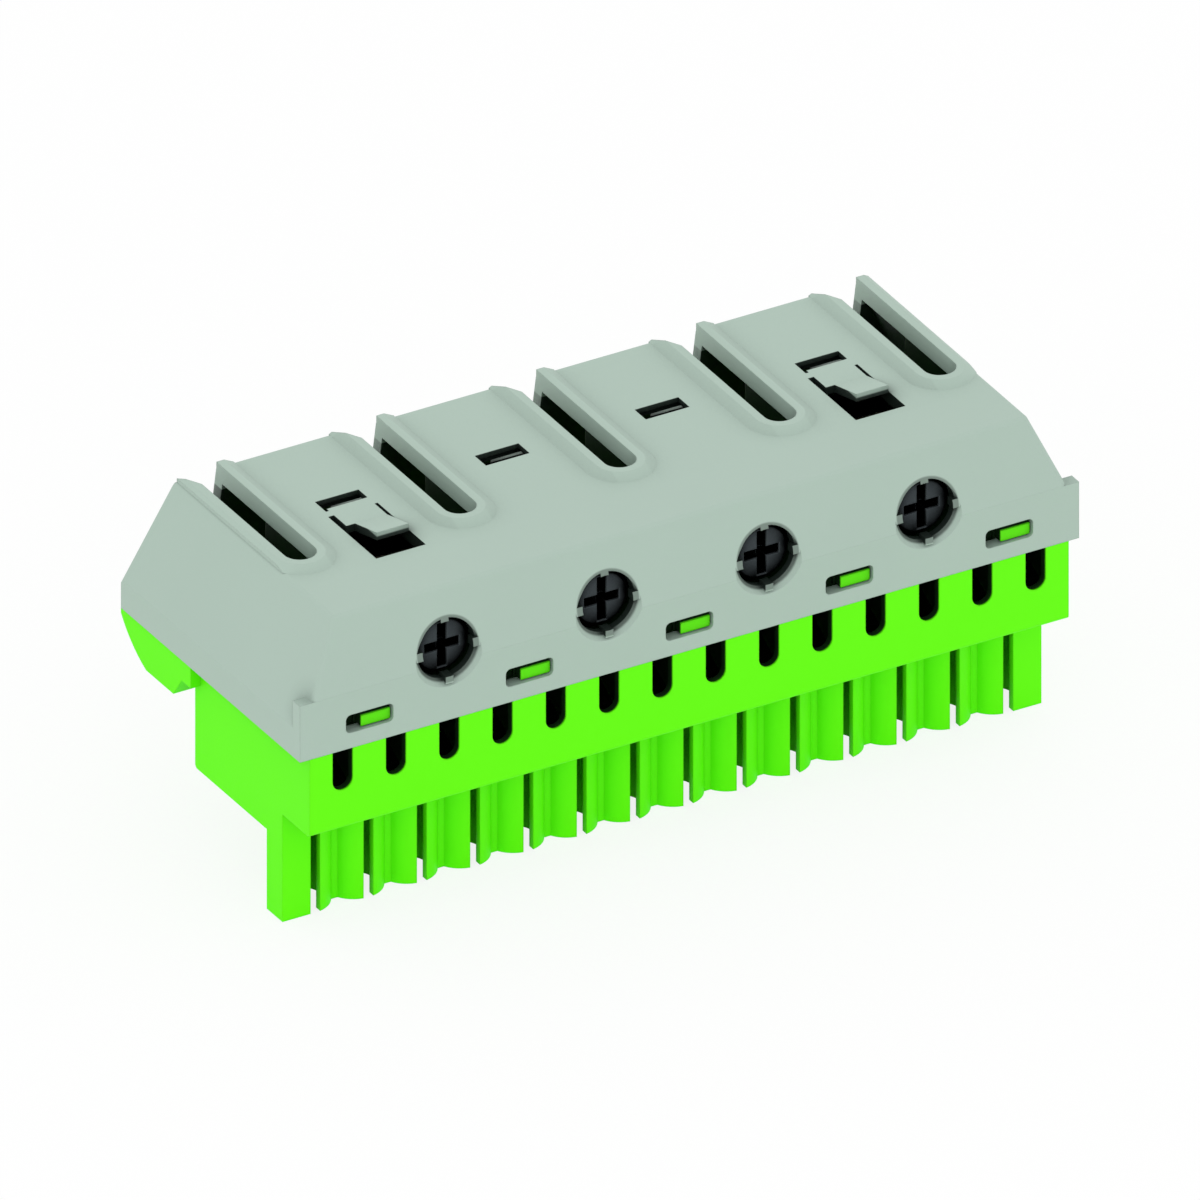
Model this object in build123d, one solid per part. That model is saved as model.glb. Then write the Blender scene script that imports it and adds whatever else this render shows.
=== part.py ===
from build123d import *
import math
import os

# Earth connector: a grey clip-fit cover over a green terminal base, with four screw clamps worked
# from the front and fourteen push-in terminals fed from below.
# Millimetres. X runs along the row, -Y is the front, Z is up. The origin is the middle of the base
# of the overall box: mid length, mid depth, at the foot of the wire tubes.

os.makedirs("parts", exist_ok=True)

# Terminal pattern
pitch = 5.5
push_in_count = 14
end_margin = 4.45
clamp_pitches = 3
clamp_count = 4

# Overall heights and depth
depth = 32.0
tube_length = 11.1
front_block_height = 8.1
cover_height = 13.0

# Cover shell
wall = 1.3
fit_gap = 0.15
band_height = 5.8
front_lean = 1.6
rear_lean = 1.9
rear_straight = 3.0
end_straight = 3.0
end_inset = 4.4
cover_edge_radius = 0.45

# Carrier slots in the roof and rear wall
slot_width = 3.1
slot_front = 11.0
slot_drop = 8.0
slot_relief = 0.6
rim_width = 0.8
rim_slope = 1.0
rim_height = 0.5
flare_width = 1.5
flare_length = 2.8

# Small roof slots and snap tongues
small_slot_length = 4.5
small_slot_width = 2.0
small_slot_setback = 19.2
skin = 0.5
skin_relief = 0.6
window_width = 5.1
window_front = 8.7
window_length = 8.6
tongue_width = 3.3
tongue_thickness = 0.8
tongue_rise = 1.0
tongue_front_gap = 2.5
tongue_side_gap = 0.3
tongue_root_width = 4.2
tongue_root_length = 2.2

# Latch windows and noses in the front band
latch_length = 4.9
latch_height = 1.85
latch_rise = 2.5
latch_radius = 0.5
nose_length = 3.0
nose_setback = 0.35
nose_bevel = 0.5
nose_pocket = 0.45

# Clamp screws
screw_hole_radius = 2.95
screw_hole_chamfer = 0.35
screw_face_setback = 1.4
nib_radius = 2.6
nib_width = 0.8
nib_rear_setback = 1.2
head_radius = 2.7
collar_radius = 3.4
collar_thickness = 1.0
shoulder = 0.8
end_play = 0.05
shank_radius = 2.5
tip_gap = 0.05
drive_width = 0.8
drive_depth = 1.5
cross_reach = 1.75
slot_reach = 2.2
head_edge = 0.25

# Clamp cages
cage_travel = 3.0
cage_front_wall = 2.0
cage_rear_wall = 1.5
cage_side_wall = 1.1
cage_inner_width = 8.2
cage_height = 8.3
cage_corner = 0.8
thread_gap = 0.05
move_gap = 0.25
guide_gap = 0.2

# Busbar
busbar_thickness = 1.8
busbar_foot = 7.0
deck_gap = 0.7
tongue_bar_width = 7.6
tongue_corner = 0.8
busbar_end = 2.6
seat_gap = 0.1

# Wire entries
wire_hole_radius = 3.6
wire_hole_chamfer = 0.4
thin_wall = 0.6
outer_wall = 1.0
lower_body_depth = 11.0

# Push-in tubes and chambers
tube_bore_radius = 2.1
tube_outer_radius = 2.8
tube_web_setback = 1.4
tube_slit_width = 1.0
oval_width = 2.1
oval_foot = 4.1
chamber_width = 4.3
chamber_front_wall = 0.9
oval_skin = 0.85
chamber_floor = 1.0

# Push-in springs
spring_thickness = 0.4
spring_width = 3.8
spring_loop_radius = 1.1
spring_floor_leg = 1.6
spring_tip_drop = 1.6
spring_gap = 0.15

# Base outline
base_end_inset = 1.04
base_front_setback = 0.05
base_edge_radius = 0.4
flange_lip = 0.5
flange_thickness = 4.2
flange_hook = 1.5
flange_curve_length = 4.5
flange_curve_sag = 0.4
flange_step = 2.1
insert_head_gap = 0.5

# Places worked out from the sizes above
length = pitch * (push_in_count - 1) + 2 * end_margin
half_length = length / 2
front_y = -depth / 2
rear_y = depth / 2
seam_z = tube_length + front_block_height
roof_z = seam_z + cover_height
band_z = seam_z + band_height
insert_top_z = roof_z - wall - insert_head_gap
cage_foot_z = insert_top_z - cage_height
screw_z = insert_top_z - cage_height / 2
deck_z = cage_foot_z - deck_gap
block_foot_z = tube_length
body_foot_z = seam_z - lower_body_depth
clamp_pitch = clamp_pitches * pitch
push_in_x = [(k - (push_in_count - 1) / 2) * pitch for k in range(push_in_count)]
clamp_x = [(j - (clamp_count - 1) / 2) * clamp_pitch for j in range(clamp_count)]
slot_x = [(i - clamp_count / 2) * clamp_pitch for i in range(clamp_count + 1)]


def front_face_y(z):
    """The cover's outer front face at height z: upright over the band, leaning back above it."""
    return front_y + front_lean * max(0.0, z - band_z) / (roof_z - band_z)


collar_y = front_face_y(screw_z + collar_radius) + wall + fit_gap
collar_rear_y = collar_y + collar_thickness
shoulder_rear_y = collar_rear_y + end_play + shoulder
cage_y = shoulder_rear_y + move_gap + cage_travel
busbar_y = cage_y + cage_front_wall + move_gap
busbar_rear_y = busbar_y + busbar_thickness
wire_y = busbar_rear_y + seat_gap + thin_wall + wire_hole_radius
body_rear_y = wire_y + wire_hole_radius + outer_wall
cage_inner_rear_y = wire_y + wire_hole_radius + fit_gap
cage_rear_y = cage_inner_rear_y + cage_rear_wall
pocket_rear_y = cage_rear_y + guide_gap
tube_y = busbar_y - tube_bore_radius
tube_front_y = tube_y - tube_outer_radius
web_front_y = tube_front_y + tube_web_setback
web_rear_y = tube_y + tube_bore_radius + outer_wall
chamber_y = front_y + wall + fit_gap + chamber_front_wall
chamber_floor_z = block_foot_z + chamber_floor
busbar_foot_z = seam_z - busbar_foot
slot_floor_z = roof_z - slot_drop


def block(x0, x1, y0, y1, z0, z1):
    """A rectangular block between two corners."""
    middle = Pos((x0 + x1) / 2, (y0 + y1) / 2, (z0 + z1) / 2)
    return middle * Box(x1 - x0, y1 - y0, z1 - z0)


def along_x(points, half):
    """A (y, z) outline made solid from -half to half along X."""
    return extrude(Plane.YZ * make_face(Polyline(*points, close=True)), half, both=True)


def along_y(points, half):
    """An (x, z) outline made solid from -half to half along Y."""
    return extrude(Plane.XZ * make_face(Polyline(*points, close=True)), half, both=True)


def rod(x, z, radius, y0, y1):
    """A round bar along Y."""
    return Pos(x, (y0 + y1) / 2, z) * Rot(90, 0, 0) * Cylinder(radius, y1 - y0)


def post(x, y, radius, z0, z1):
    """A round bar along Z."""
    return Pos(x, y, (z0 + z1) / 2) * Cylinder(radius, z1 - z0)


def cover_form(inset):
    """The cover's leaning form, drawn in by inset on the front, rear, ends and roof."""
    top = roof_z - inset
    rear_knee = seam_z + rear_straight
    rear_top = rear_y - rear_lean * (top - rear_knee) / (roof_z - rear_knee)
    side = [
        (front_y + inset, seam_z),
        (front_y + inset, band_z),
        (front_face_y(top) + inset, top),
        (rear_top - inset, top),
        (rear_y - inset, rear_knee),
        (rear_y - inset, seam_z),
    ]
    end_knee = seam_z + end_straight
    end_top = half_length - end_inset * (top - end_knee) / (roof_z - end_knee) - inset
    end = half_length - inset
    across = [(-end, seam_z), (-end, end_knee), (-end_top, top)]
    across += [(end_top, top), (end, end_knee), (end, seam_z)]
    return along_x(side, length) & along_y(across, depth)


def slot_tool(x, grow, z0, z1):
    """A carrier slot's outline with a round front end, running out past the rear."""
    radius = slot_width / 2 + grow
    end_y = front_y + slot_front + slot_width / 2
    straight = block(x - radius, x + radius, end_y, rear_y + wall, z0, z1)
    return straight + post(x, end_y, radius, z0, z1)


def slot_rim(x):
    """The raised rim round a slot: flat beside the slot, then sloping away to the roof."""
    high = slot_width / 2 + rim_width
    low = high + rim_slope
    end_y = front_y + slot_front + slot_width / 2
    half = (rear_y - end_y) / 2
    slope = along_y(
        [
            (-low, roof_z),
            (-high, roof_z + rim_height),
            (high, roof_z + rim_height),
            (low, roof_z),
        ],
        half,
    )
    straight = Pos(x, end_y + half, 0) * slope
    round_end = Pos(x, end_y, roof_z + rim_height / 2) * Cone(low, high, rim_height)
    return slot_tool(x, rim_width + rim_slope, roof_z - wall, roof_z) + straight + round_end


def slot_flare(x):
    """The corner cut off the left side of a slot's mouth."""
    side = x - slot_width / 2
    mouth_y = rear_y - rear_lean
    corner = Polyline(
        (side, mouth_y - flare_length),
        (side - flare_width, mouth_y),
        (side - flare_width, rear_y + wall),
        (side, rear_y + wall),
        close=True,
    )
    drop = slot_drop + rim_height
    return Pos(0, 0, slot_floor_z) * extrude(make_face(corner), drop)


def snap_tongue(x):
    """A snap tongue: flat where it leaves the rear of its window, then ramped up to its free tip."""
    root_y = front_y + window_front + window_length
    tip_y = front_y + window_front + tongue_front_gap
    ramp_y = root_y - tongue_root_length
    tip_z = roof_z + tongue_rise
    right = x + window_width / 2 - tongue_side_gap
    outline = [
        (root_y + wall, roof_z),
        (ramp_y, roof_z),
        (tip_y, tip_z),
        (tip_y, tip_z - tongue_thickness),
        (ramp_y, roof_z - tongue_thickness),
        (root_y + wall, roof_z - tongue_thickness),
    ]
    arm = Pos(right - tongue_width / 2, 0, 0) * along_x(outline, tongue_width / 2)
    left = right - tongue_root_width
    return arm + block(left, right, ramp_y, root_y + wall, roof_z - tongue_thickness, roof_z)


def screw_nibs(x):
    """Four nibs at the mouth of a screw hole, which keep the head from backing out."""
    length_across = 2 * (screw_hole_radius + screw_hole_chamfer)
    middle = Pos(x, front_y, screw_z)
    nibs = middle * Box(length_across, 2 * nib_rear_setback, nib_width)
    nibs += middle * Box(nib_width, 2 * nib_rear_setback, length_across)
    return (nibs - rod(x, screw_z, nib_radius, front_y - wall, collar_y)) & cover_form(0)


def make_cover():
    """The grey shell with its slots, rims, tongues, screw holes and latch windows."""
    outer = cover_form(0)
    soft = outer.edges().filter_by(lambda edge: edge.center().Z > seam_z + end_straight)
    outer = fillet(soft, cover_edge_radius)
    shell = outer + block(-half_length, half_length, front_y, front_y + wall, seam_z, band_z)
    rims = [slot_rim(x) for x in slot_x]
    upright = along_x(
        [
            (front_y, seam_z),
            (front_y, roof_z + rim_height),
            (rear_y - rear_lean, roof_z + rim_height),
            (rear_y - rear_lean, seam_z),
        ],
        half_length - end_inset,
    )
    shell += [rim & upright for rim in rims]
    shell -= cover_form(wall)
    shell -= [slot_tool(x, 0, slot_floor_z, roof_z + cover_height) for x in slot_x]
    shell -= [slot_flare(x) for x in slot_x]
    small_slot = Box(small_slot_length, small_slot_width, 4 * wall)
    relief_length = small_slot_length + 2 * skin_relief
    relief = Box(relief_length, small_slot_width + 2 * skin_relief, 2 * (wall - skin))
    for x in clamp_x:
        shell -= Pos(x, front_y + small_slot_setback, roof_z) * small_slot
        shell -= Pos(x, front_y + small_slot_setback, roof_z - wall) * relief
        shell -= rod(x, screw_z, screw_hole_radius, front_y - wall, collar_y)
        spread = 2 * screw_hole_chamfer
        mouth = Cone(screw_hole_radius + spread, screw_hole_radius, spread)
        shell -= Pos(x, front_face_y(screw_z), screw_z) * Rot(-90, 0, 0) * mouth
        shell += screw_nibs(x)
    for x in (clamp_x[0], clamp_x[-1]):
        side = window_width / 2
        front = front_y + window_front
        rear = front + window_length
        shell -= block(x - side, x + side, front, rear, roof_z - 2 * wall, roof_z + wall)
        shell += snap_tongue(x)
    opening = RectangleRounded(latch_length, latch_height, latch_radius)
    for x in slot_x:
        window = Plane.XZ * extrude(opening, wall, both=True)
        shell -= Pos(x, front_y + wall / 2, seam_z + latch_rise) * window
    return shell


def is_foot_edge(edge):
    """The long edges at the foot of the front face and of the rear face."""
    place = edge.center()
    front_foot = abs(place.Z - block_foot_z) < wall / 2 and place.Y < tube_y - wall
    rear_foot = abs(place.Z - body_foot_z) < wall / 2 and place.Y > wire_y
    return front_foot or rear_foot


def base_outline():
    """The outside of the green moulding below the seam."""
    end = half_length - base_end_inset
    front = front_y + base_front_setback
    body = along_x(
        [
            (front, seam_z),
            (front, block_foot_z),
            (web_front_y, block_foot_z),
            (web_front_y, body_foot_z),
            (body_rear_y, body_foot_z),
            (body_rear_y, seam_z),
        ],
        end,
    )
    foot = body.edges().filter_by(Axis.X).filter_by(is_foot_edge)
    body = fillet(foot, base_edge_radius)
    low = seam_z - flange_thickness
    hook_y = body_rear_y + thin_wall
    step = (body_rear_y - outer_wall, seam_z - flange_step)
    curve_foot = (rear_y - flange_curve_length, low)
    lip = (rear_y, seam_z - flange_lip)
    under = Polyline(
        lip,
        (rear_y, seam_z),
        (body_rear_y - outer_wall, seam_z),
        step,
        (hook_y, seam_z - flange_step),
        (hook_y + flange_hook, low),
        curve_foot,
    )
    curve = SagittaArc(curve_foot, lip, -flange_curve_sag)
    flange = extrude(Plane.YZ * make_face([under, curve]), half_length, both=True)
    return body + flange


def tube_row():
    """The row of slit tubes: round lobes on a common web, square at the two ends."""
    end = half_length - base_end_inset
    first, last = push_in_x[0], push_in_x[-1]
    row = block(first, last, web_front_y, web_rear_y, 0, block_foot_z)
    row += [post(x, tube_y, tube_outer_radius, 0, block_foot_z) for x in push_in_x]
    row += block(-end, first, tube_front_y, tube_y, 0, block_foot_z)
    row += block(last, end, tube_front_y, tube_y, 0, block_foot_z)
    return row


def latch_nose(x):
    """The green nose that snaps into a latch window, filling its right side."""
    right = x + latch_length / 2 - fit_gap
    low = seam_z + latch_rise - latch_height / 2 + fit_gap
    high = low + latch_height - 2 * fit_gap
    face = front_y + nose_setback
    seat = front_y + wall + 2 * fit_gap
    outline = [(seat, low), (face, low), (face, high - nose_bevel), (seat, high)]
    return Pos(right - nose_length / 2, 0, 0) * along_x(outline, nose_length / 2)


def nose_pocket_cut(x):
    """The relief beside a latch nose, which leaves the left of its window dark."""
    left = x - latch_length / 2
    right = left + latch_length - nose_length - 2 * fit_gap
    low = seam_z + latch_rise - latch_height / 2
    return block(left, right, front_y, front_y + wall + nose_pocket, low, low + latch_height)


def screw_saddle(x):
    """The open-topped seat of a clamp screw: wide at the collar, narrower through its shoulder."""
    collar_half = collar_radius + guide_gap
    shank_half = shank_radius + guide_gap
    collar_end = collar_rear_y + end_play
    seat = block(x - collar_half, x + collar_half, front_y, collar_end, screw_z, roof_z)
    seat += rod(x, screw_z, collar_half, front_y, collar_end)
    seat += block(x - shank_half, x + shank_half, front_y, cage_y, screw_z, roof_z)
    seat += rod(x, screw_z, shank_half, front_y, cage_y)
    return seat


def push_in_cuts(x):
    """One push-in terminal: tube bore with its slit, spring chamber and release hole."""
    half = chamber_width / 2
    slit_half = tube_slit_width / 2
    oval_half = oval_width / 2
    oval_z = seam_z - oval_foot + oval_half
    cut = post(x, tube_y, tube_bore_radius, -chamber_floor, chamber_floor_z + chamber_floor)
    cut += block(x - slit_half, x + slit_half, tube_front_y - wall, tube_y, -wall, block_foot_z)
    cut += block(x - half, x + half, chamber_y, busbar_y, chamber_floor_z, deck_z)
    pocket_y = front_y + base_front_setback + oval_skin
    cut += block(x - half, x + half, pocket_y, chamber_y, chamber_floor_z, seam_z)
    cut += block(x - oval_half, x + oval_half, front_y - wall, chamber_y + wall, oval_z, seam_z)
    cut += rod(x, oval_z, oval_half, front_y - wall, chamber_y + wall)
    return cut


def wire_hole(x):
    """A clamp's wire entry from below, with a countersunk mouth."""
    mouth = Cone(wire_hole_radius + wire_hole_chamfer, wire_hole_radius, wire_hole_chamfer)
    hole = post(x, wire_y, wire_hole_radius, body_foot_z - wall, deck_z + wall)
    return hole + Pos(x, wire_y, body_foot_z + wire_hole_chamfer / 2) * mouth


def make_base():
    """The green moulding: block, tubes, body, flange and insert, less its pockets."""
    insert = cover_form(wall + fit_gap)
    far_y = pocket_rear_y + outer_wall
    deck = insert & block(-length, length, front_y, far_y, seam_z, deck_z)
    front_wall = insert & block(-length, length, front_y, shoulder_rear_y, seam_z, insert_top_z)
    rib_half = clamp_pitch / 2 - cage_inner_width / 2 - cage_side_wall - guide_gap
    rib_y = busbar_rear_y + seat_gap
    ribs = [
        insert & block(x - rib_half, x + rib_half, rib_y, far_y, seam_z, insert_top_z)
        for x in slot_x
    ]
    base = base_outline() + tube_row() + deck + front_wall + ribs
    base += [latch_nose(x) for x in slot_x]
    bar_half = half_length - busbar_end + seat_gap
    bar_foot = busbar_foot_z - seat_gap
    base -= [push_in_cuts(x) for x in push_in_x]
    base -= [wire_hole(x) for x in clamp_x]
    base -= [screw_saddle(x) for x in clamp_x]
    base -= block(-bar_half, bar_half, busbar_y - seat_gap, rib_y, bar_foot, roof_z)
    base -= [slot_tool(x, slot_relief, slot_floor_z, roof_z) for x in slot_x]
    for x in slot_x:
        base -= nose_pocket_cut(x)
    return base


def make_busbar():
    """The brass comb: a web behind the push-in chambers and a tongue for each clamp."""
    half = half_length - busbar_end
    bar = block(-half, half, busbar_y, busbar_rear_y, busbar_foot_z, deck_z)
    for x in clamp_x:
        side = tongue_bar_width / 2
        tongue = block(x - side, x + side, busbar_y, busbar_rear_y, busbar_foot_z, insert_top_z)
        top = tongue.edges().filter_by(Axis.Y).group_by(Axis.Z)[-1]
        bar += chamfer(top, tongue_corner)
    return bar


def make_screw(x):
    """A captive clamp screw with a cross and slot drive and a collar behind its head."""
    face_y = front_y + screw_face_setback
    tip_y = busbar_y - tip_gap
    head = rod(x, screw_z, head_radius, face_y, collar_y)
    head = chamfer(head.edges().sort_by(Axis.Y)[0], head_edge)
    shank = rod(x, screw_z, shank_radius, collar_y, tip_y)
    screw = head + shank + rod(x, screw_z, collar_radius, collar_y, collar_rear_y)
    middle = Pos(x, face_y, screw_z)
    screw -= middle * Box(drive_width, 2 * drive_depth, 2 * slot_reach)
    screw -= middle * Box(2 * cross_reach, 2 * drive_depth, drive_width)
    return screw


def make_cage(x):
    """A steel clamp cage: a squared ring open above and below, threaded at the front."""
    inner_half = cage_inner_width / 2
    outer_half = inner_half + cage_side_wall
    top = cage_foot_z + cage_height
    ring = block(x - outer_half, x + outer_half, cage_y, cage_rear_y, cage_foot_z, top)
    ring = chamfer(ring.edges().filter_by(Axis.Z), cage_corner)
    inner_y = cage_y + cage_front_wall
    ring -= block(x - inner_half, x + inner_half, inner_y, cage_inner_rear_y, cage_foot_z, top)
    return ring - rod(x, screw_z, shank_radius + thread_gap, cage_y, inner_y)


def make_spring(x):
    """A push-in spring: a leg on the chamber floor, a loop at the front, a leg up to the busbar."""
    reach = spring_loop_radius
    centre_y = chamber_y + spring_gap + spring_thickness / 2 + reach
    centre_z = chamber_floor_z + spring_gap + spring_thickness / 2 + reach
    tip_y = busbar_y - spring_gap - spring_thickness
    tip_z = seam_z - spring_tip_drop
    rise = math.atan2(tip_z - centre_z, tip_y - centre_y)
    away = math.hypot(tip_y - centre_y, tip_z - centre_z)
    turn = rise + math.acos(reach / away)
    leave = (0, centre_y + reach * math.cos(turn), centre_z + reach * math.sin(turn))
    foot = (0, centre_y, centre_z - reach)
    path = Wire(
        [
            Edge.make_line((0, centre_y + spring_floor_leg, centre_z - reach), foot),
            Edge.make_three_point_arc(foot, (0, centre_y - reach, centre_z), leave),
            Edge.make_line(leave, (0, tip_y, tip_z)),
        ]
    )
    start = Plane(origin=path @ 0, x_dir=(1, 0, 0), z_dir=path % 0)
    strip = sweep(start * Rectangle(spring_width, spring_thickness), path=path)
    return Pos(x, 0, 0) * strip


shapes = {"cover": make_cover(), "terminal_base": make_base(), "busbar": make_busbar()}
for j, x in enumerate(clamp_x, start=1):
    shapes[f"clamp_screw_{j}"] = make_screw(x)
    shapes[f"clamp_cage_{j}"] = make_cage(x)
for k, x in enumerate(push_in_x, start=1):
    shapes[f"push_in_spring_{k:02d}"] = make_spring(x)

for node, shape in shapes.items():
    export_step(shape, f"parts/{node}.step")
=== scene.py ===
"""Earth connector: finishes, clamp screws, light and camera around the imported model."""

import math

import bmesh
import bpy
from bpy.props import FloatProperty, FloatVectorProperty, IntProperty, PointerProperty
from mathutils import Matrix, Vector


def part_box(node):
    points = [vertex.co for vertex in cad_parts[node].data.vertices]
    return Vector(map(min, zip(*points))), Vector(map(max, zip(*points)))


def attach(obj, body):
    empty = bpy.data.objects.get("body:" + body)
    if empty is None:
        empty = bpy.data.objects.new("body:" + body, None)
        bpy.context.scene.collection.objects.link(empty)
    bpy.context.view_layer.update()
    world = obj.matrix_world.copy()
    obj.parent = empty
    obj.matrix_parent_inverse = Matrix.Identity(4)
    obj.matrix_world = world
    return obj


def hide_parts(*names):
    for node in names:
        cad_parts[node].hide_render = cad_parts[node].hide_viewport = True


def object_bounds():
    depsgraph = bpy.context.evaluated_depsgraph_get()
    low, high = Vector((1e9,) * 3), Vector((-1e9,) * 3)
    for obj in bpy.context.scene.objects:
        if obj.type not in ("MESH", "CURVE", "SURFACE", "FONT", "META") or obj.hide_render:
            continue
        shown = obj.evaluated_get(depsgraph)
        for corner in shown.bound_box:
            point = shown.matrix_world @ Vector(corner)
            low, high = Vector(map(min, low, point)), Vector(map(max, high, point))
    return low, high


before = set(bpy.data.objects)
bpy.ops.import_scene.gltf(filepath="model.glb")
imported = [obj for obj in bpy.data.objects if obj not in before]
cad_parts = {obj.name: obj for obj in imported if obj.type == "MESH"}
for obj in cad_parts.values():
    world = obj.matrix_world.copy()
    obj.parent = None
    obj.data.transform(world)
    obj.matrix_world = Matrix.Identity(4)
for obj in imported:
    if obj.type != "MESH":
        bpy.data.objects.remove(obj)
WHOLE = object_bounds()

bl_info = {
    "name": "Earth connector looks",
    "version": (1, 0, 0),
    "blender": (4, 5, 0),
    "location": "View3D > Sidebar > Connector",
    "description": "Dresses the earth connector: moulded plastics, metals, clamp screws and a studio",
    "category": "Object",
}

MM = 0.001
CLAMPS = sorted(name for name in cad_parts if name.startswith("clamp_screw_"))
CAGES = sorted(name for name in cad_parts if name.startswith("clamp_cage_"))
SPRINGS = sorted(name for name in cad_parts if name.startswith("push_in_spring_"))

# The photograph's view, measured in its 1200 pixel frame
PHOTO_PIXELS = 1200
PIXELS_PER_MM = 11.19
VIEW_AZIMUTH = -30
VIEW_ELEVATION = 30
AIM_HEIGHT = 16.4 * MM

# The studio, in metres
FLOOR_REACH = 1.5
FLOOR_DROP = 0.05 * MM
LAMP_DISTANCE = 0.6
CAMERA_DISTANCE = 0.5
WHITE = (1, 1, 1, 1)

# How softly a shaded region of a finish ends
MASK_FADE = 0.2 * MM


def colour(name, text, default):
    """A linear colour that a user may change."""
    return FloatVectorProperty(
        name=name, description=text, default=default, size=3, subtype="COLOR", min=0, max=1
    )


def length(name, text, default):
    """A length in metres, shown in the scene's unit."""
    return FloatProperty(name=name, description=text, default=default, unit="LENGTH", precision=5, min=0)


def share(name, text, default):
    """A number from 0 to 1."""
    return FloatProperty(name=name, description=text, default=default, subtype="FACTOR", min=0, max=1)


def power(name, text, default):
    """A lamp's power in watts."""
    return FloatProperty(name=name, description=text, default=default, unit="POWER", min=0)


class MouldingLook(bpy.types.PropertyGroup):
    """The two moulded plastics and the surface that their moulds leave."""

    grey: colour("Cover grey", "Colour of the grey cover", (0.414, 0.532, 0.460))
    green: colour("Base green", "Colour of the green terminal base", (0.140, 1.0, 0.002))
    # Painted shade: the colours that recesses are darkened towards, where little light would reach
    grey_painted_shade: colour("Grey in recesses", "Cover colour where little light gets in", (0.012, 0.020, 0.016))
    green_painted_shade: colour("Green in recesses", "Base colour where little light gets in", (0.006, 0.022, 0.006))
    clouding: length("Clouding", "Size of the faint clouds in the colour", 14.0 * MM)
    wear: share("Edge wear", "How far the edges are rubbed lighter", 0.35)
    grain: length("Grain", "Size of the spark-eroded grain of the mould", 0.22 * MM)
    grain_depth: length("Grain depth", "Height of that grain", 0.006 * MM)
    edge_radius: length("Edge radius", "Rounding of the moulded edges", 0.16 * MM)
    grey_reach: length("Grey recess reach", "How far a wall shades its neighbour on the cover", 2.4 * MM)
    green_reach: length("Green recess reach", "How far a wall shades its neighbour on the base", 5.0 * MM)
    hollow_reach: length("Hollow reach", "How far a wall shades its neighbour inside the housing", 14.0 * MM)
    roughness: share("Roughness", "Roughness of the matt plastic", 0.52)


class MetalLook(bpy.types.PropertyGroup):
    """The metals of the clamps, busbar and springs."""

    black: colour("Screw black", "Colour of the blackened screws", (0.020, 0.024, 0.026))
    zinc: colour("Cage zinc", "Colour of the plated cages", (0.62, 0.63, 0.62))
    brass: colour("Busbar brass", "Colour of the busbar", (0.78, 0.57, 0.22))
    spring: colour("Spring steel", "Colour of the push-in springs", (0.52, 0.52, 0.52))
    brushing: length("Brushing", "Width of the rolling and brushing lines", 0.05 * MM)
    brushing_depth: length("Brushing depth", "Height of those lines", 0.002 * MM)
    clouding: length("Clouding", "Size of the faint clouds on bare metal", 2.2 * MM)
    mottling: length("Mottling", "Size of the mottled black on the screws", 0.5 * MM)
    mottling_depth: length("Mottling depth", "Height of that mottling", 0.004 * MM)
    edge_radius: length("Edge radius", "Rounding of the cut edges of bare metal", 0.08 * MM)
    screw_edge_radius: length("Screw edge radius", "Rounding of the screws' edges", 0.10 * MM)
    # On the screws this lightening is partly wear and partly a painted highlight on the drive's edges
    wear: share("Edge wear", "How far the edges are rubbed lighter", 0.6)
    reach: length("Recess reach", "How far a wall shades bare metal", 14.0 * MM)
    screw_reach: length("Drive recess reach", "How far a wall shades the screws", 3.0 * MM)


class ScrewSizes(bpy.types.PropertyGroup):
    """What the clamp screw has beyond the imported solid's outline."""

    slot_half: length("Slot half width", "Half the width of the drive slots", 0.42 * MM)
    slot_reach: length("Slot reach", "Reach of the long slot from the axis", 2.2 * MM)
    cross_reach: length("Cross reach", "Reach of the cross slot from the axis", 1.75 * MM)
    drive_depth: length("Drive depth", "Depth of the drive", 1.5 * MM)
    drive_taper: length("Drive taper", "Narrowing of the drive on each side at its floor", 0.16 * MM)
    drive_break: length("Drive edge", "Broken edge round the drive", 0.10 * MM)
    head_round: length("Head edge", "Rounding of the head's rim", 0.28 * MM)
    thread_pitch: length("Thread pitch", "Pitch of the metric thread", 0.8 * MM)
    thread_depth: length("Thread depth", "Depth of the metric thread", 0.45 * MM)
    segments: IntProperty(name="Segments", description="Segments round the screw", default=72, min=24)


class StudioSettings(bpy.types.PropertyGroup):
    """Light, floor and camera."""

    sky: FloatProperty(name="Sky", description="Strength of the even white surround", default=0.97, min=0)
    key: power("Key", "Power of the large soft lamp", 0.22)
    fill: power("Fill", "Power of the weak lamp on the right", 0.10)
    floor_white: share("Floor white", "Brightness of the plain floor", 0.97)
    shadow_share: share("Shadow", "How much of the floor's own shading the camera sees", 0.15)


class Field:
    """A value that varies over a surface. Sums on it add Math nodes to its wiring."""

    def __init__(self, wiring, socket):
        self.wiring = wiring
        self.socket = socket

    def __add__(self, other):
        return self.wiring.maths("ADD", self, other)

    def __radd__(self, other):
        return self.wiring.maths("ADD", other, self)

    def __sub__(self, other):
        return self.wiring.maths("SUBTRACT", self, other)

    def __rsub__(self, other):
        return self.wiring.maths("SUBTRACT", other, self)

    def __mul__(self, other):
        return self.wiring.maths("MULTIPLY", self, other)

    def __rmul__(self, other):
        return self.wiring.maths("MULTIPLY", other, self)

    def __pow__(self, other):
        return self.wiring.maths("POWER", self, other)


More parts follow.
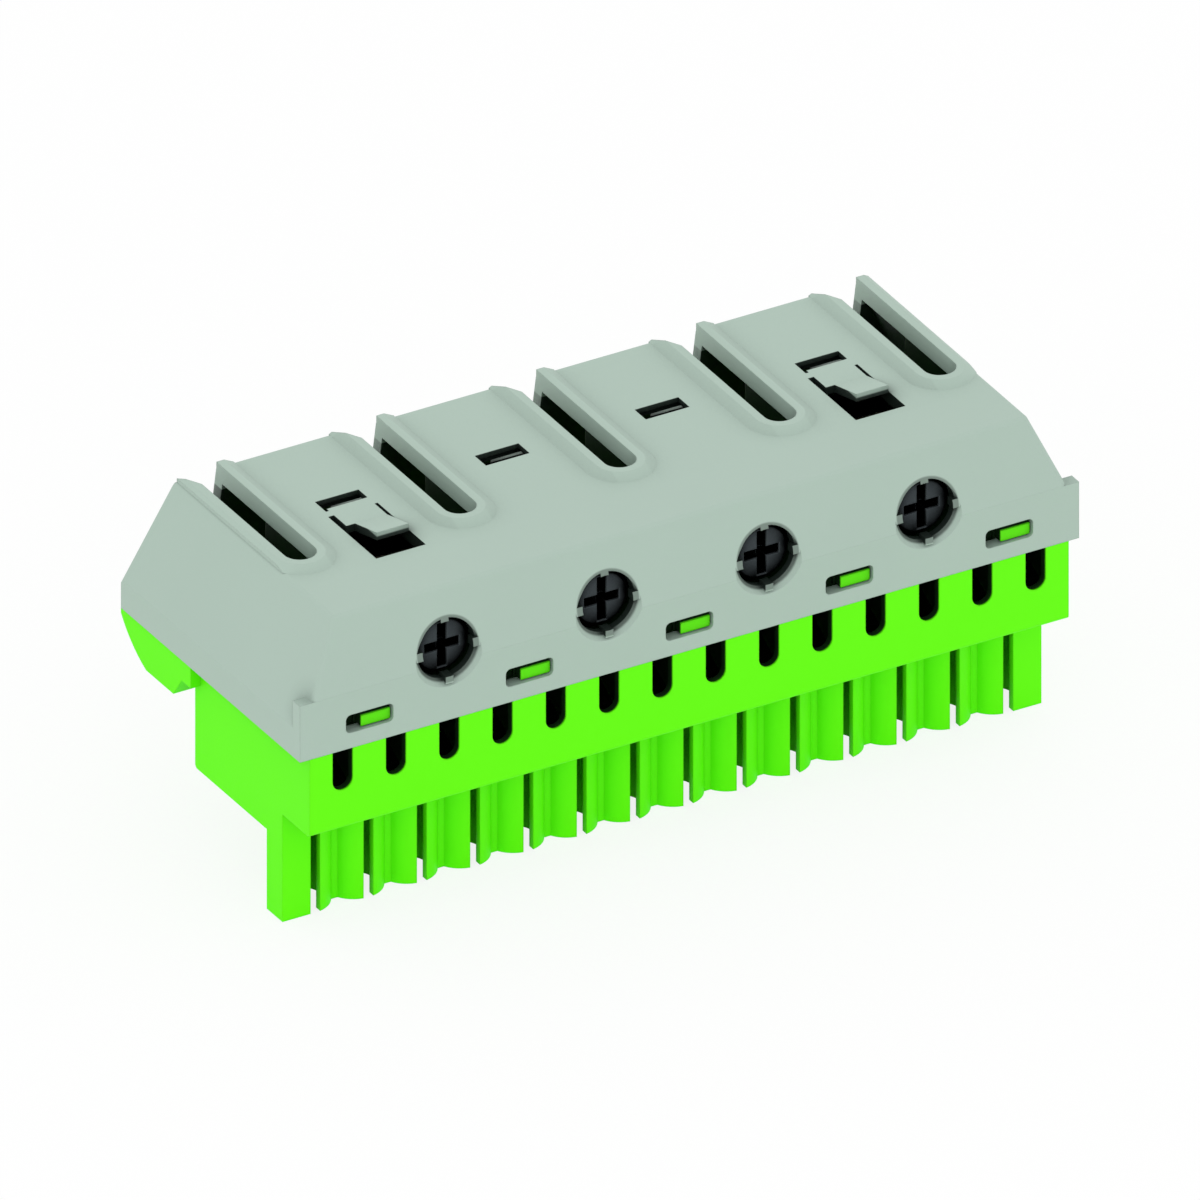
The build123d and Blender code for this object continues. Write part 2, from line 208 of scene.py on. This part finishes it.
class Wiring:
    """The nodes of a material or of the surround in the making, up to their end node."""

    def __init__(self, tree, end):
        self.tree = tree
        tree.nodes.clear()
        self.end = tree.nodes.new(end)

    def feed(self, socket, value):
        """Sets a socket to a value, or links it to a field."""
        if isinstance(value, Field):
            self.tree.links.new(value.socket, socket)
        else:
            socket.default_value = value

    def node(self, kind, settings=None, inputs=None, output=0):
        """Adds a node, sets it up, feeds its sockets and returns one of its outputs."""
        made = self.tree.nodes.new(kind)
        for name, value in (settings or {}).items():
            setattr(made, name, value)
        for key, value in (inputs or {}).items():
            self.feed(made.inputs[key], value)
        return Field(self, made.outputs[output])

    def show(self, surface):
        """Ends the nodes in a shader."""
        self.feed(self.end.inputs["Surface"], surface)

    def maths(self, operation, *terms):
        """A Math node on two or more terms."""
        return self.node("ShaderNodeMath", {"operation": operation}, dict(enumerate(terms)))

    def blend(self, amount, first, second):
        """A shader between two shaders."""
        return self.node("ShaderNodeMixShader", inputs={0: amount, 1: first, 2: second})

    def seen_directly(self):
        """1 for rays that come from the camera, a gloss or a clear material."""
        rays = ("Is Camera Ray", "Is Glossy Ray", "Is Transmission Ray")
        camera, gloss, clear = (self.node("ShaderNodeLightPath", output=ray) for ray in rays)
        return self.maths("MAXIMUM", self.maths("MAXIMUM", camera, gloss), clear)


class Finish(Wiring):
    """A material in the making: one Principled shader and the nodes that feed it."""

    def __init__(self, name):
        self.material = bpy.data.materials.new(name)
        self.material.use_nodes = True
        super().__init__(self.material.node_tree, "ShaderNodeOutputMaterial")
        self.shader = self.node("ShaderNodeBsdfPrincipled")
        self.show(self.shader)

    def point(self):
        """The point on the surface, in metres in the object's own frame."""
        return self.node("ShaderNodeTexCoord", output="Object")

    def coordinates(self):
        """That point's x, y and z."""
        split = self.node("ShaderNodeSeparateXYZ", inputs={"Vector": self.point()}).socket.node
        return [Field(self, output) for output in split.outputs]

    def smooth(self, value, low, high):
        """A soft step from 0 at low to 1 at high."""
        settings = {"interpolation_type": "SMOOTHSTEP"}
        return self.node("ShaderNodeMapRange", settings, {"Value": value, "From Min": low, "From Max": high})

    def mix(self, amount, first, second):
        """A colour between two colours."""
        return self.node("ShaderNodeMix", {"data_type": "RGBA"}, {0: amount, 6: first, 7: second}, 2)

    def stretch(self, scale):
        """The point on the surface, scaled along each axis."""
        return self.node("ShaderNodeMapping", inputs={"Vector": self.point(), "Scale": scale})

    def noise(self, size, detail, vector=None):
        """Soft noise whose blobs are about this large."""
        inputs = {"Vector": vector or self.point(), "Scale": 1 / size, "Detail": detail}
        return self.node("ShaderNodeTexNoise", inputs=inputs)

    def rounded(self, radius):
        """The surface's direction, turned over its edges as a small radius would turn it."""
        return self.node("ShaderNodeBevel", {"samples": 4}, {"Radius": radius})

    def edges(self, rounded):
        """1 on an edge and 0 on a flat."""
        true = self.node("ShaderNodeNewGeometry", output="Normal")
        directions = {0: rounded, 1: true}
        along = self.node("ShaderNodeVectorMath", {"operation": "DOT_PRODUCT"}, directions, "Value")
        slight, full = 0.01, 0.25
        return self.smooth(1 - along, slight, full)

    def above(self, value, limit):
        """1 over a limit, falling to 0 over a short distance under it."""
        return self.smooth(value, limit - MASK_FADE, limit)

    def below(self, value, limit):
        """1 under a limit, falling to 0 over a short distance past it."""
        return 1 - self.smooth(value, limit, limit + MASK_FADE)

    def within(self, low, high):
        """1 inside a box given by two corners, falling to 0 outside it. None leaves a side open."""
        inside = 1.0
        for value, start, end in zip(self.coordinates(), low, high):
            if start is not None:
                inside = inside * self.above(value, start)
            if end is not None:
                inside = inside * self.below(value, end)
        return inside

    def openness(self, reach, alone=True):
        """1 on an open face, falling to 0 deep in a recess of the piece alone or of the whole object."""
        settings = {"samples": 8, "only_local": alone}
        return self.node("ShaderNodeAmbientOcclusion", settings, {"Distance": reach}, "AO")

    def bump(self, height, distance, normal):
        """A surface direction raised by a height from 0 to 1."""
        inputs = {"Height": height, "Distance": distance, "Strength": 1.0, "Normal": normal}
        return self.node("ShaderNodeBump", inputs=inputs)

    def settle(self, **sockets):
        """Feeds the shader's sockets, named with underscores for spaces."""
        for name, value in sockets.items():
            self.feed(self.shader.socket.node.inputs[name.replace("_", " ")], value)
        return self.material


def tint(rgb, factor=1.0):
    """A colour with full alpha, made lighter or darker."""
    return (*(min(1.0, part * factor) for part in rgb), 1.0)


def moulded(name, rgb, painted_shade_rgb, look, gloss, recess, crease, hollows):
    """Matt polyamide: a fine eroded grain, slight clouding, softer edges and painted shade in its recesses.

    recess is a reach and the openness that counts as dark and as lit for the painted shade.
    crease is the same for the faint painted shade beside a step, with its strength. hollows
    draws masks on the finish where shade is painted, each with the openness that counts as dark and as lit
    inside it.
    """
    reach, dark, bright = recess
    crease_dark, crease_bright, crease_strength = crease
    finish = Finish(name)
    rounded = finish.rounded(look.edge_radius)
    edge = finish.edges(rounded)
    cloud = finish.noise(look.clouding, 3.0)
    grain = finish.noise(look.grain, 1.0)
    fine = finish.noise(look.grain / 2.7, 0.0)
    plain = finish.mix(cloud, tint(rgb, 0.975), tint(rgb, 1.02))
    worn = finish.mix(edge * look.wear, plain, tint(rgb, 1.12))
    # Painted shade: the colour darkens towards the shade colour beside steps and deep in recesses, where
    # walls would keep light out
    openness = finish.openness(reach)
    step = finish.smooth(openness, crease_dark, crease_bright)
    step_shaded = finish.mix(1 - crease_strength * (1 - step), tint(painted_shade_rgb), worn)
    lit = finish.smooth(openness, dark, bright)
    inside = finish.openness(look.hollow_reach, alone=False)
    # Inside the masks the painted shade follows the whole object's walls, and it can darken faces that are
    # fully open
    for mask, dark, bright in hollows(finish):
        lit = lit + mask * (finish.smooth(inside, dark, bright) - lit)
    return finish.settle(
        Base_Color=finish.mix(lit, tint(painted_shade_rgb), step_shaded),
        Roughness=look.roughness + (grain - 0.5) * 0.12 - edge * 0.08,
        Specular_IOR_Level=gloss,
        Normal=finish.bump(grain * 0.65 + fine * 0.35, look.grain_depth, rounded),
    )


def metal(name, rgb, look, lines, roughness):
    """Bare or plated metal with fine lines from rolling or brushing, brighter rubbed edges, and painted shade
    that darkens it deep inside the housing.
    """
    finish = Finish(name)
    rounded = finish.rounded(look.edge_radius)
    edge = finish.edges(rounded)
    brushed = finish.noise(look.brushing, 2.0, finish.stretch(lines))
    cloud = finish.noise(look.clouding, 2.0)
    tone = finish.mix(cloud, tint(rgb, 0.9), tint(rgb, 1.05))
    rubbed = finish.mix(edge * look.wear, tone, tint(rgb, 1.25))
    # Painted shade: where the whole object's walls close round the metal its colour falls to a twenty-fifth
    dark, bright = 0.30, 0.95
    open_face = finish.smooth(finish.openness(look.reach, alone=False), dark, bright)
    return finish.settle(
        Base_Color=finish.mix(open_face, tint(rgb, 0.04), rubbed),
        Metallic=1.0,
        Roughness=roughness + (brushed - 0.5) * 0.25 + (cloud - 0.5) * 0.1,
        Normal=finish.bump(brushed, look.brushing_depth, rounded),
    )


def blackened(name, rgb, look):
    """Black-plated steel: a painted reflection lightens its open face to dull grey, painted shade turns the
    drive's recess black, and its edges are rubbed lighter with a painted highlight.
    """
    finish = Finish(name)
    rounded = finish.rounded(look.screw_edge_radius)
    edge = finish.edges(rounded)
    mottled = finish.noise(look.mottling, 3.0)
    sheen = finish.mix(mottled, tint(rgb, 2.2), tint(rgb, 3.4))
    # Painted reflection and shade: open faces get a dull grey sheen colour, the drive's recess goes nearly
    # black
    dark, bright = 0.60, 1.0
    open_face = finish.smooth(finish.openness(look.screw_reach, alone=False), dark, bright)
    tone = finish.mix(open_face, tint(rgb, 0.15), sheen)
    return finish.settle(
        # Edges rubbed lighter: partly wear, partly a painted highlight on the drive's edges
        Base_Color=finish.mix(edge * look.wear, tone, tint(rgb, 7.0)),
        Metallic=1.0,
        Roughness=0.32 + mottled * 0.2,
        Normal=finish.bump(mottled, look.mottling_depth, rounded),
    )


def dress(names, material):
    """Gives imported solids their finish."""
    for name in names:
        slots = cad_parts[name].data.materials
        slots.clear()
        slots.append(material)


class Lathe:
    """A closed turned solid about the Y axis, built ring by ring in metres."""

    def __init__(self, segments):
        self.mesh = bmesh.new()
        self.segments = segments
        self.last = None

    def cap(self, y):
        """Closes the end of the last ring, or starts from a point."""
        tip = self.mesh.verts.new((0, y, 0))
        if self.last is None:
            self.last = [tip]
            return
        for a, b in zip(self.last, self.last[1:] + self.last[:1]):
            self.mesh.faces.new((a, b, tip))

    def ring(self, y, radius):
        """Adds a ring. The radius is a length, or a function of the share of a turn."""
        ring = []
        for step in range(self.segments):
            turn = step / self.segments
            reach = radius(turn) if callable(radius) else radius
            angle = math.tau * turn
            ring.append(self.mesh.verts.new((reach * math.cos(angle), y, reach * math.sin(angle))))
        before = self.last
        self.last = ring
        if before is None:
            return
        for step in range(self.segments):
            after = (step + 1) % self.segments
            if len(before) == 1:
                self.mesh.faces.new((before[0], ring[step], ring[after]))
            else:
                self.mesh.faces.new((before[step], ring[step], ring[after], before[after]))

    def finished(self, name):
        """The mesh as data, with its faces turned outward."""
        bmesh.ops.recalc_face_normals(self.mesh, faces=self.mesh.faces)
        data = bpy.data.meshes.new(name)
        self.mesh.to_mesh(data)
        self.mesh.free()
        return data


def drive_outline(slot_half, slot_reach, cross_reach):
    """The twelve corners of a cross with one long arm pair, as (x, z)."""
    quarter = [(slot_half, slot_reach), (slot_half, slot_half), (cross_reach, slot_half)]
    right = quarter + [(x, -z) for x, z in reversed(quarter)]
    return right + [(-x, -z) for x, z in right]


def drive_cutter(sizes, face_y):
    """The space that the drive takes out of the head: a cross with broken edges and tapered walls."""
    mesh = bmesh.new()
    edge = sizes.drive_break
    levels = [
        (face_y - edge, 2 * edge),
        (face_y + edge, 0.0),
        (face_y + sizes.drive_depth, -sizes.drive_taper),
    ]
    before = None
    for y, grow in levels:
        corners = drive_outline(sizes.slot_half + grow, sizes.slot_reach + grow, sizes.cross_reach + grow)
        ring = [mesh.verts.new((x, y, z)) for x, z in corners]
        if before:
            for a, b, c, d in zip(before, before[1:] + before[:1], ring[1:] + ring[:1], ring):
                mesh.faces.new((a, b, c, d))
        else:
            mesh.faces.new(ring)
        before = ring
    mesh.faces.new(list(reversed(before)))
    bmesh.ops.recalc_face_normals(mesh, faces=mesh.faces)
    data = bpy.data.meshes.new("drive_cutter")
    mesh.to_mesh(data)
    mesh.free()
    return data


def arc_steps(count):
    """Angles of a quarter turn, as (sine, 1 - cosine)."""
    for step in range(count + 1):
        angle = math.pi / 2 * step / count
        yield math.sin(angle), 1 - math.cos(angle)


def screw_mesh(sizes, cad):
    """A clamp screw in the place of its solid: head, collar, neck and threaded shank."""
    lathe = Lathe(sizes.segments)
    lathe.cap(cad.face_y)
    rounding = sizes.head_round
    for out, back in arc_steps(count=5):
        lathe.ring(cad.face_y + back * rounding, cad.head - rounding + out * rounding)
    lathe.ring(cad.collar_y, cad.head)
    soft = 0.12 * MM
    lathe.ring(cad.collar_y, cad.collar - soft)
    lathe.ring(cad.collar_y + soft, cad.collar)
    lathe.ring(cad.neck_y - soft, cad.collar)
    lathe.ring(cad.neck_y, cad.collar - soft)
    lathe.ring(cad.neck_y, cad.shank)
    thread_y = cad.neck_y + sizes.thread_pitch
    lathe.ring(thread_y, cad.shank)
    steps_per_pitch = 8
    thread_length = cad.tip_y - cad.tip_chamfer - thread_y
    count = round(thread_length / sizes.thread_pitch * steps_per_pitch)
    span = thread_length / count
    for step in range(1, count + 1):
        y = thread_y + step * span
        fade = min(1.0, step / steps_per_pitch)
        lathe.ring(y, thread_radius(cad.shank, y, sizes.thread_pitch, sizes.thread_depth * fade))
    lathe.ring(cad.tip_y, cad.shank - cad.tip_chamfer - sizes.thread_depth / 2)
    lathe.cap(cad.tip_y)
    return lathe.finished("clamp_screw_blank")


def thread_radius(crest, y, pitch, depth):
    """The radius of a V thread with flat crests and roots, as a function of the share of a turn."""
    flank_slope, crest_flat = 1.25, 0.12

    def radius(turn):
        phase = (y / pitch - turn) % 1.0
        rise = abs(2 * phase - 1)
        return crest - depth * min(1.0, max(0.0, flank_slope * rise - crest_flat))

    return radius


class ScrewForm:
    """The places and radii of a packed screw. Its axis is along Y."""

    # Sizes of the solid that its box doesn't give
    head = 2.7 * MM
    shank = 2.5 * MM
    tip_chamfer = 0.4 * MM

    def __init__(self, node):
        low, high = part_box(node)
        self.face_y = low.y
        self.tip_y = high.y
        self.collar = (high.x - low.x) / 2
        self.centre = Vector(((low.x + high.x) / 2, 0, (low.z + high.z) / 2))
        self.collar_y, self.neck_y = self.collar_ends(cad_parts[node].data)

    def collar_ends(self, solid):
        """Where the collar starts and ends, read from the vertices that are wider than the head."""
        wide = [
            vertex.co.y
            for vertex in solid.vertices
            if math.hypot(vertex.co.x - self.centre.x, vertex.co.z - self.centre.z) > self.head * 1.1
        ]
        return min(wide), max(wide)


def carve(blank, cutter, name):
    """Cuts one mesh out of another and returns the result as new data."""
    body = bpy.data.objects.new("carve_body", blank)
    tool = bpy.data.objects.new("carve_tool", cutter)
    for each in (body, tool):
        bpy.context.scene.collection.objects.link(each)
    boolean = body.modifiers.new("Drive", "BOOLEAN")
    boolean.operation = "DIFFERENCE"
    boolean.solver = "EXACT"
    boolean.object = tool
    graph = bpy.context.evaluated_depsgraph_get()
    data = bpy.data.meshes.new_from_object(body.evaluated_get(graph))
    data.name = name
    for each in (body, tool):
        bpy.data.objects.remove(each)
    bpy.data.meshes.remove(blank)
    bpy.data.meshes.remove(cutter)
    return data


def smooth_by_angle(data, degrees):
    """Shades faces smooth and marks edges sharper than an angle as hard."""
    data.shade_smooth()
    data.set_sharp_from_angle(angle=math.radians(degrees))


class CONNECTOR_OT_grey_cover(bpy.types.Operator):
    """Finish the grey cover in matt moulded plastic"""

    bl_idname = "connector.grey_cover"
    bl_label = "Grey cover"

    def execute(self, context):
        look = context.scene.moulding_look
        grey = moulded(
            "Cover moulding",
            look.grey,
            look.grey_painted_shade,
            look,
            gloss=0.3,
            # Painted shade: the cover's recesses and the foot of each step are darkened towards its shade
            # colour
            recess=(look.grey_reach, 0.15, 0.58),
            crease=(0.88, 1.0, 0.22),
            hollows=self.hollows,
        )
        dress(["cover"], grey)
        return {"FINISHED"}

    def hollows(self, finish):
        """The roof's small openings, the space under the roof and the screw holes, where shade is painted
        darker.
        """
        low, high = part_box("cover")
        tongue_rise = 1.0 * MM
        roof = high.z - tongue_rise
        first, second, *_, last = (ScrewForm(node).centre for node in CLAMPS)
        pitch = second.x - first.x
        left, right = first.x - pitch / 2, last.x + pitch / 2
        opening_reach = 6.4 * MM
        hole_radius = 3.1 * MM
        skin_start = (left, low.y + 8 * MM, roof - 1.6 * MM)
        skin_end = (right, high.y - 2.6 * MM, roof + 0.5 * MM)
        space_start = (None, low.y + 12 * MM, roof - 9.9 * MM)
        space_end = (None, None, roof - 2.0 * MM)
        x, _y, z = finish.coordinates()
        across = finish.maths("PINGPONG", x - first.x, pitch / 2)
        up = z - first.z
        from_axis = (across * across + up * up) ** 0.5
        openings = finish.within(skin_start, skin_end) * finish.below(across, opening_reach)
        holes = finish.within((left, None, None), (right, 0.0, None)) * finish.below(from_axis, hole_radius)
        # In the screw holes the painted shade also darkens the open front faces of the nibs
        return [
            (openings, 0.5, 1.0),
            (finish.within(space_start, space_end), 0.3, 1.0),
            (holes, 0.5, 1.6),
        ]


class CONNECTOR_OT_green_base(bpy.types.Operator):
    """Finish the terminal base in bright green moulded plastic"""

    bl_idname = "connector.green_base"
    bl_label = "Green base"

    def execute(self, context):
        look = context.scene.moulding_look
        green = moulded(
            "Base moulding",
            look.green,
            look.green_painted_shade,
            look,
            gloss=0.12,
            # Painted shade: the base's recesses and the foot of each step are darkened towards its shade
            # colour
            recess=(look.green_reach, 0.04, 0.30),
            crease=(0.45, 0.97, 0.16),
            hollows=self.hollows,
        )
        dress(["terminal_base"], green)
        return {"FINISHED"}

    def hollows(self, finish):
        """The chambers of the front block, the space under the cover and the noses in the latch windows,
        where shade is painted darker.
        """
        low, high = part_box("terminal_base")
        front = low.y
        side = high.x - 2 * MM
        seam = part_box("cover")[0].z
        over_seam = seam + 0.2 * MM
        chambers_start = (-side, front + 0.25 * MM, seam - 7.2 * MM)
        chambers_end = (side, front + 8 * MM, seam)
        inner_start = (None, front + 0.5 * MM, over_seam)
        noses_end = (None, front + 0.2 * MM, None)
        return [
            (finish.within(chambers_start, chambers_end), 0.5, 1.0),
            (finish.within(inner_start, (None, None, None)), 0.5, 1.0),
            # On the noses the painted shade darkens even their open front faces
            (finish.within((None, None, over_seam), noses_end), 0.3, 1.4),
        ]


class CONNECTOR_OT_clamp_screws(bpy.types.Operator):
    """Replace the plain screws by ones with a cut drive and a thread"""

    bl_idname = "connector.clamp_screws"
    bl_label = "Clamp screws"

    def execute(self, context):
        sizes = context.scene.screw_sizes
        look = context.scene.metal_look
        form = ScrewForm(CLAMPS[0])
        shape = carve(screw_mesh(sizes, form), drive_cutter(sizes, form.face_y), "clamp_screw_shape")
        smooth_by_angle(shape, degrees=34)
        shape.materials.clear()
        shape.materials.append(blackened("Screw black", look.black, look))
        for number, node in enumerate(CLAMPS, start=1):
            screw = bpy.data.objects.new(f"threaded_screw_{number}", shape)
            context.scene.collection.objects.link(screw)
            screw.location = ScrewForm(node).centre
            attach(screw, f"screw_{number}")
            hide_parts(node)
        return {"FINISHED"}


class CONNECTOR_OT_clamp_cages(bpy.types.Operator):
    """Finish the clamp cages in zinc-plated steel"""

    bl_idname = "connector.clamp_cages"
    bl_label = "Clamp cages"

    def execute(self, context):
        look = context.scene.metal_look
        dress(CAGES, metal("Cage zinc", look.zinc, look, lines=(1.0, 1.0, 12.0), roughness=0.36))
        return {"FINISHED"}


class CONNECTOR_OT_busbar(bpy.types.Operator):
    """Finish the busbar in bright brass"""

    bl_idname = "connector.busbar"
    bl_label = "Busbar"

    def execute(self, context):
        look = context.scene.metal_look
        dress(["busbar"], metal("Busbar brass", look.brass, look, lines=(0.08, 1.0, 1.0), roughness=0.27))
        return {"FINISHED"}


class CONNECTOR_OT_push_in_springs(bpy.types.Operator):
    """Finish the push-in springs in rolled spring strip"""

    bl_idname = "connector.push_in_springs"
    bl_label = "Push-in springs"

    def execute(self, context):
        look = context.scene.metal_look
        dress(SPRINGS, metal("Spring strip", look.spring, look, lines=(1.0, 0.08, 0.08), roughness=0.25))
        return {"FINISHED"}


def lamp(name, watts, size, direction, aim):
    """A square soft lamp that faces the object."""
    data = bpy.data.lights.new(name, "AREA")
    data.energy = watts
    data.size = size
    made = bpy.data.objects.new(name, data)
    bpy.context.scene.collection.objects.link(made)
    away = Vector(direction).normalized()
    made.location = aim + away * LAMP_DISTANCE
    made.rotation_mode = "QUATERNION"
    made.rotation_quaternion = away.to_track_quat("Z", "Y")


class CONNECTOR_OT_studio(bpy.types.Operator):
    """Add the floor, the even white surround, two soft lamps and the camera"""

    bl_idname = "connector.studio"
    bl_label = "Studio"

    def execute(self, context):
        settings = context.scene.studio_settings
        aim = Vector((0, 0, AIM_HEIGHT))
        self.sky(context, settings)
        self.floor(context, settings)
        lamp("Key lamp", settings.key, size=0.5, direction=(-0.55, -0.75, 1.0), aim=aim)
        lamp("Fill lamp", settings.fill, size=0.6, direction=(1.0, -0.5, 0.5), aim=aim)
        self.camera(context, aim)
        context.scene.view_settings.view_transform = "Standard"
        return {"FINISHED"}

    def sky(self, context, settings):
        """White to the camera, and an even light to the object."""
        world = bpy.data.worlds.new("Studio surround")
        context.scene.world = world
        world.use_nodes = True
        wiring = Wiring(world.node_tree, "ShaderNodeOutputWorld")
        light = wiring.node("ShaderNodeBackground", inputs={"Color": WHITE, "Strength": settings.sky})
        backdrop = wiring.node("ShaderNodeBackground", inputs={"Color": WHITE, "Strength": 1.0})
        wiring.show(wiring.blend(wiring.seen_directly(), light, backdrop))

    def floor(self, context, settings):
        """A plain floor under the feet, clear from below, that keeps the object's shadow."""
        near, far = -FLOOR_REACH, FLOOR_REACH
        data = bpy.data.meshes.new("studio_floor")
        data.from_pydata([(near, near, 0), (far, near, 0), (far, far, 0), (near, far, 0)], [], [(0, 1, 2, 3)])
        floor = bpy.data.objects.new("studio_floor", data)
        floor.location.z = WHOLE[0].z - FLOOR_DROP
        context.scene.collection.objects.link(floor)
        finish = Finish("Studio floor")
        finish.settle(Base_Color=tint((settings.floor_white,) * 3), Roughness=0.9, Specular_IOR_Level=0.0)
        bright = finish.seen_directly() * (1 - settings.shadow_share)
        lit = finish.blend(bright, finish.shader, finish.node("ShaderNodeEmission"))
        under = finish.node("ShaderNodeNewGeometry", output="Backfacing")
        clear = finish.node("ShaderNodeBsdfTransparent")
        finish.show(finish.blend(under, lit, clear))
        data.materials.append(finish.material)

    def camera(self, context, aim):
        """The photograph's parallel view."""
        azimuth = math.radians(VIEW_AZIMUTH)
        elevation = math.radians(VIEW_ELEVATION)
        level = math.cos(elevation)
        back = Vector((math.sin(azimuth) * level, -math.cos(azimuth) * level, math.sin(elevation)))
        data = bpy.data.cameras.new("Camera")
        data.type = "ORTHO"
        data.ortho_scale = PHOTO_PIXELS / PIXELS_PER_MM * MM
        data.clip_start = 0.01
        data.clip_end = 10
        camera = bpy.data.objects.new("Camera", data)
        context.scene.collection.objects.link(camera)
        camera.location = aim + back * CAMERA_DISTANCE
        camera.rotation_mode = "QUATERNION"
        camera.rotation_quaternion = back.to_track_quat("Z", "Y")
        context.scene.camera = camera


class CONNECTOR_PT_panel(bpy.types.Panel):
    """Lists the steps and the settings in the sidebar"""

    bl_label = "Earth connector"
    bl_idname = "CONNECTOR_PT_panel"
    bl_space_type = "VIEW_3D"
    bl_region_type = "UI"
    bl_category = "Connector"

    def draw(self, context):
        """Draws a button for each step and a box for each group of settings."""
        for step in STEPS:
            self.layout.operator(step.bl_idname)
        for name, group in SETTINGS.items():
            box = self.layout.box()
            for prop in group.__annotations__:
                box.prop(getattr(context.scene, name), prop)


SETTINGS = {
    "moulding_look": MouldingLook,
    "metal_look": MetalLook,
    "screw_sizes": ScrewSizes,
    "studio_settings": StudioSettings,
}
STEPS = [
    CONNECTOR_OT_grey_cover,
    CONNECTOR_OT_green_base,
    CONNECTOR_OT_clamp_screws,
    CONNECTOR_OT_clamp_cages,
    CONNECTOR_OT_busbar,
    CONNECTOR_OT_push_in_springs,
    CONNECTOR_OT_studio,
]


def register():
    """Adds the settings, the operators and the panel to Blender."""
    for kind in (*SETTINGS.values(), *STEPS, CONNECTOR_PT_panel):
        bpy.utils.register_class(kind)
    for name, group in SETTINGS.items():
        setattr(bpy.types.Scene, name, PointerProperty(type=group))


def unregister():
    """Takes them away again."""
    for name in SETTINGS:
        delattr(bpy.types.Scene, name)
    for kind in reversed((*SETTINGS.values(), *STEPS, CONNECTOR_PT_panel)):
        bpy.utils.unregister_class(kind)


def corners(box):
    """A box's two corners as plain lists."""
    return [list(box[0]), list(box[1])]


def main():
    """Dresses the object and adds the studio."""
    register()
    bpy.ops.connector.grey_cover()
    bpy.ops.connector.green_base()
    bpy.ops.connector.clamp_screws()
    bpy.ops.connector.clamp_cages()
    bpy.ops.connector.busbar()
    bpy.ops.connector.push_in_springs()
    bpy.ops.connector.studio()


if __name__ == "__main__":
    main()
